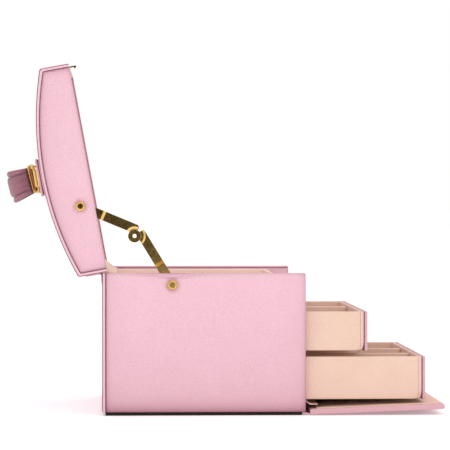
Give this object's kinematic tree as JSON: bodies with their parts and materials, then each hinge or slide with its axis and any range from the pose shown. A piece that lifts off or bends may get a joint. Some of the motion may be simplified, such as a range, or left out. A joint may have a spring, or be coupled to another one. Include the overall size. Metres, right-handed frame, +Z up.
{
  "type": "jewellery chest",
  "caption": "Leatherette jewellery chest with an arched lid on a folding stay, a drop-down front flap, two suede drawers and a lined top tray.",
  "frame": {"origin": "centre of the underside of the base pad", "axes": "+Z up, -Y towards the front flap and drawers, +X to the right of someone facing the front; the stay is on the left"},
  "size_m": [0.2508, 0.3918, 0.3148],
  "materials": {
    "pink_leather": "pearly soft-grain leatherette over board",
    "handle_leather": "soft mauve leatherette, padded and stitched",
    "suede": "cream microsuede over board",
    "foam": "cream suede over soft foam",
    "ribbon": "folded ribbon",
    "black_felt": "black felt",
    "gold": "polished gold-coloured metal",
    "mirror_glass": "mirror"
  },
  "bodies": {
    "chest": {"base_pad": "black_felt", "bottom_board": "suede", "side_panel_left": "pink_leather", "side_panel_right": "pink_leather", "back_panel": "pink_leather", "lower_bay_floor": "suede", "drawer_shelf": "suede", "tray_shelf": "suede", "bay_back_lining": "suede", "top_front_wall": "pink_leather", "tray_box": "suede", "tray_divider_long": "suede", "tray_divider_cross": "suede", "tray_divider_left": "suede", "ring_rolls": "foam", "stay_rivet_body": "gold", "stay_washer_body": "gold", "lid_hinge_leather": "pink_leather", "lid_hinge_suede": "suede", "flap_hinge_leather": "pink_leather", "flap_hinge_suede": "suede"},
    "lid": {"lid_skin": "pink_leather", "lid_cheek_left": "pink_leather", "lid_cheek_right": "pink_leather", "lid_mirror_board": "suede", "mirror": "mirror_glass", "mirror_frame": "gold", "lid_catch": "gold", "catch_screws": "gold", "stay_rivet_lid": "gold", "stay_washer_lid": "gold", "handle_tab_left": "pink_leather", "handle_tab_right": "pink_leather"},
    "handle": {"handle_strap": "handle_leather", "handle_ring_left": "gold", "handle_ring_right": "gold"},
    "stay_upper": {"stay_link_upper": "gold", "stay_elbow_rivet": "gold"},
    "stay_lower": {"stay_link_lower": "gold", "stay_elbow_cap": "gold"},
    "upper_drawer": {"upper_drawer_box": "suede", "upper_drawer_front": "pink_leather", "upper_drawer_pull": "ribbon", "upper_drawer_divider_1": "suede"},
    "lower_drawer": {"lower_drawer_box": "suede", "lower_drawer_front": "pink_leather", "lower_drawer_pull": "ribbon", "lower_drawer_divider_1": "suede", "lower_drawer_divider_2": "suede"},
    "flap": {"flap_board": "pink_leather", "flap_lining": "suede", "lock_case": "gold", "lock_screws": "gold"},
    "lock": {"lock_cylinder": "gold"}
  },
  "joints": [
    {"name": "lid_hinge", "type": "hinge", "parent": "chest", "child": "lid", "pos_m": [0, 0.088, 0.129], "axis": [1, 0, 0], "range_deg": [0, 100.5], "deforming": ["lid_hinge_leather", "lid_hinge_suede"]},
    {"name": "handle_swing", "type": "hinge", "parent": "lid", "child": "handle", "pos_m": [0, 0.15005, 0.21015], "axis": [1, 0, 0], "range_deg": [0, 8]},
    {"name": "stay_lid_pivot", "type": "hinge", "parent": "lid", "child": "stay_upper", "pos_m": [-0.117, 0.10927, 0.18506], "axis": [1, 0, 0], "range_deg": [-118.64, 0]},
    {"name": "stay_body_pivot", "type": "hinge", "parent": "chest", "child": "stay_lower", "pos_m": [-0.117, 0.0281, 0.1155], "axis": [1, 0, 0], "range_deg": [0, 112.69]},
    {"name": "upper_drawer_slide", "type": "slide", "parent": "chest", "child": "upper_drawer", "axis": [0, 1, 0], "range_m": [-0.0683, 0.0589]},
    {"name": "lower_drawer_slide", "type": "slide", "parent": "chest", "child": "lower_drawer", "axis": [0, 1, 0], "range_m": [-0.0163, 0.1105]},
    {"name": "flap_hinge", "type": "hinge", "parent": "chest", "child": "flap", "pos_m": [0, -0.0923, 0.004], "axis": [-1, 0, 0], "range_deg": [0, 1.2], "deforming": ["flap_hinge_leather", "flap_hinge_suede"]},
    {"name": "lock_turn", "type": "hinge", "parent": "flap", "child": "lock", "pos_m": [0, -0.20004, 0.00024], "axis": [0, -0.0401, -0.9992], "range_deg": [0, 90]}
  ],
  "couplings": [
    {"joint": "stay_body_pivot", "follows": "lid_hinge", "ratio": 1.1212},
    {"joint": "stay_lid_pivot", "follows": "lid_hinge", "ratio": -1.1805}
  ]
}
